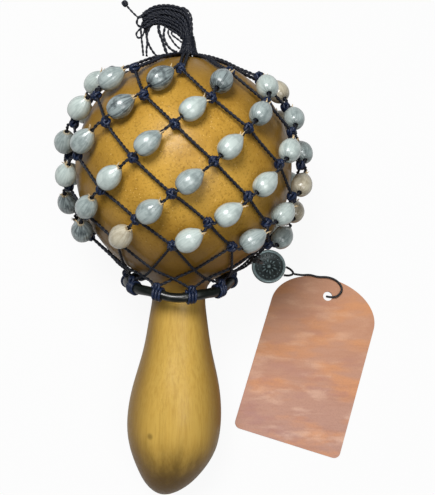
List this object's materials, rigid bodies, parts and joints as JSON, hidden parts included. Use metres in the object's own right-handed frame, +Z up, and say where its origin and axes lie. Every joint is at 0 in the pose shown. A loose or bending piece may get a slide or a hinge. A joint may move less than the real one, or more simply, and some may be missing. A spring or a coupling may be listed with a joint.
{
  "type": "netted gourd rattle",
  "caption": "Small shekere: a round gourd whose own neck is the handle, in a knotted cord net strung with seed beads, with a tuft, neck ring, string seal and hang tag.",
  "frame": {"origin": "on the surface that the rattle lies on, below the middle of the rattle's length and width, without its strings, seal and tag", "axes": "+Z up from that surface; +Y from the handle's end towards the crown, along the length as seen from above; +X to the right, where the tag lies"},
  "size_m": [0.1282, 0.1756, 0.0952],
  "materials": {
    "gourd_skin": "lacquered golden gourd skin",
    "net_cord": "waxed twisted cord, near-black navy",
    "knot_cord": "waxed cord, navy",
    "seed_bead": "glossy pale grey seed",
    "ring_rubber": "black rubber with a slight shine",
    "string": "thin black string",
    "seal_metal": "pewter-coloured, slightly worn relief",
    "tag_card": "printed terracotta card, matte"
  },
  "bodies": {
    "gourd": {"gourd_shell": "gourd_skin"},
    "net": {"neck_ring": "ring_rubber", "ring_hitches": "knot_cord", "lower_strands": "net_cord", "crown_strands": "net_cord", "tuft_whipping": "net_cord", "tuft_bundle": "net_cord", "tuft_ends": "net_cord", "stray_strand": "net_cord", "stray_knot": "net_cord", "knots_a": "knot_cord", "knots_b": "knot_cord", "knots_c": "knot_cord", "knots_d": "knot_cord", "knots_e": "knot_cord", "knots_f": "knot_cord", "knots_g": "knot_cord", "strands_ab": "net_cord", "strands_bc": "net_cord", "strands_cd": "net_cord", "strands_de": "net_cord", "strands_ef": "net_cord", "strands_fg": "net_cord", "beads_ab": "seed_bead", "beads_bc": "seed_bead", "beads_cd": "seed_bead", "beads_de": "seed_bead", "beads_ef": "seed_bead", "beads_fg": "seed_bead", "string_knot": "string", "seal_string_upper": "string", "seal_string_lower": "string", "tag_string": "string"},
    "seal": {"seal_disc": "seal_metal", "seal_eyelet": "string"},
    "tag": {"hang_tag": "tag_card"},
    "bead_ab_1": {"bead_ab_1": "seed_bead"},
    "bead_ab_2": {"bead_ab_2": "seed_bead"},
    "bead_ab_3": {"bead_ab_3": "seed_bead"},
    "bead_bc_1": {"bead_bc_1": "seed_bead"},
    "bead_bc_2": {"bead_bc_2": "seed_bead"},
    "bead_bc_3": {"bead_bc_3": "seed_bead"},
    "bead_bc_4": {"bead_bc_4": "seed_bead"},
    "bead_cd_1": {"bead_cd_1": "seed_bead"},
    "bead_cd_2": {"bead_cd_2": "seed_bead"},
    "bead_cd_3": {"bead_cd_3": "seed_bead"},
    "bead_cd_4": {"bead_cd_4": "seed_bead"},
    "bead_de_1": {"bead_de_1": "seed_bead"},
    "bead_de_2": {"bead_de_2": "seed_bead"},
    "bead_de_3": {"bead_de_3": "seed_bead"},
    "bead_de_4": {"bead_de_4": "seed_bead"},
    "bead_ef_1": {"bead_ef_1": "seed_bead"},
    "bead_ef_2": {"bead_ef_2": "seed_bead"},
    "bead_ef_3": {"bead_ef_3": "seed_bead"},
    "bead_ef_4": {"bead_ef_4": "seed_bead"},
    "bead_fg_1": {"bead_fg_1": "seed_bead"},
    "bead_fg_2": {"bead_fg_2": "seed_bead"},
    "bead_fg_3": {"bead_fg_3": "seed_bead"}
  },
  "joints": [
    {"name": "net_turn", "type": "hinge", "parent": "gourd", "child": "net", "pos_m": [0, 0.0315, 0.04768], "axis": [0, 0.9535, 0.3014], "continuous": true},
    {"name": "slide_ab_1", "type": "slide", "parent": "net", "child": "bead_ab_1", "axis": [0.7182, 0.6778, -0.1576], "range_m": [-0.00104, 0.00104]},
    {"name": "slide_ab_2", "type": "slide", "parent": "net", "child": "bead_ab_2", "axis": [0.3726, 0.7846, -0.4956], "range_m": [-0.00104, 0.00104]},
    {"name": "slide_ab_3", "type": "slide", "parent": "net", "child": "bead_ab_3", "axis": [0.7894, 0.5301, 0.3094], "range_m": [-0.00104, 0.00104]},
    {"name": "slide_bc_1", "type": "slide", "parent": "net", "child": "bead_bc_1", "axis": [0.7387, 0.6622, -0.1255], "range_m": [-0.00076, 0.00076]},
    {"name": "slide_bc_2", "type": "slide", "parent": "net", "child": "bead_bc_2", "axis": [0.7853, 0.513, 0.3467], "range_m": [-0.00076, 0.00076]},
    {"name": "slide_bc_3", "type": "slide", "parent": "net", "child": "bead_bc_3", "axis": [0.41, 0.7747, -0.4813], "range_m": [-0.00076, 0.00076]},
    {"name": "slide_bc_4", "type": "slide", "parent": "net", "child": "bead_bc_4", "axis": [0.5319, 0.384, 0.7547], "range_m": [-0.00076, 0.00076]},
    {"name": "slide_cd_1", "type": "slide", "parent": "net", "child": "bead_cd_1", "axis": [0.7546, 0.6049, 0.2545], "range_m": [-0.00016, 0.00299]},
    {"name": "slide_cd_2", "type": "slide", "parent": "net", "child": "bead_cd_2", "axis": [0.6459, 0.742, -0.1794], "range_m": [-0.00016, 0.00299]},
    {"name": "slide_cd_3", "type": "slide", "parent": "net", "child": "bead_cd_3", "axis": [0.575, 0.4747, 0.6664], "range_m": [-0.00016, 0.00299]},
    {"name": "slide_cd_4", "type": "slide", "parent": "net", "child": "bead_cd_4", "axis": [0.2906, 0.8338, -0.4695], "range_m": [-0.00016, 0.00299]},
    {"name": "slide_de_1", "type": "slide", "parent": "net", "child": "bead_de_1", "axis": [0.7667, 0.6117, 0.1949], "range_m": [-0.0003, 0.00269]},
    {"name": "slide_de_2", "type": "slide", "parent": "net", "child": "bead_de_2", "axis": [0.6194, 0.476, 0.6244], "range_m": [-0.0003, 0.00269]},
    {"name": "slide_de_3", "type": "slide", "parent": "net", "child": "bead_de_3", "axis": [0.6211, 0.7476, -0.235], "range_m": [-0.0003, 0.00269]},
    {"name": "slide_de_4", "type": "slide", "parent": "net", "child": "bead_de_4", "axis": [0.2355, 0.3923, 0.8892], "range_m": [-0.0003, 0.00269]},
    {"name": "slide_ef_1", "type": "slide", "parent": "net", "child": "bead_ef_1", "axis": [0.719, 0.4357, 0.5415], "range_m": [-0.00016, 0.00143]},
    {"name": "slide_ef_2", "type": "slide", "parent": "net", "child": "bead_ef_2", "axis": [0.808, 0.5852, 0.0684], "range_m": [-0.00016, 0.00143]},
    {"name": "slide_ef_3", "type": "slide", "parent": "net", "child": "bead_ef_3", "axis": [0.3554, 0.3305, 0.8744], "range_m": [-0.00016, 0.00143]},
    {"name": "slide_ef_4", "type": "slide", "parent": "net", "child": "bead_ef_4", "axis": [0.5883, 0.722, -0.3641], "range_m": [-0.00016, 0.00143]},
    {"name": "slide_fg_1", "type": "slide", "parent": "net", "child": "bead_fg_1", "axis": [0.7807, 0.4578, 0.4253], "range_m": [-0.000058, 0.000518]},
    {"name": "slide_fg_2", "type": "slide", "parent": "net", "child": "bead_fg_2", "axis": [0.4744, 0.3349, 0.8141], "range_m": [-0.000058, 0.000518]},
    {"name": "slide_fg_3", "type": "slide", "parent": "net", "child": "bead_fg_3", "axis": [0.7889, 0.6115, -0.061], "range_m": [-0.000058, 0.000518]},
    {"name": "seal_turn", "type": "hinge", "parent": "net", "child": "seal", "pos_m": [0.0365, 0.0036, 0.0011], "axis": [0.9703, -0.2419, 0], "range_deg": [-90, 90]},
    {"name": "tag_swing", "type": "hinge", "parent": "net", "child": "tag", "pos_m": [0.06114, -0.00782, 0.0004], "axis": [0, 0, 1], "range_deg": [-1, 60]}
  ]
}
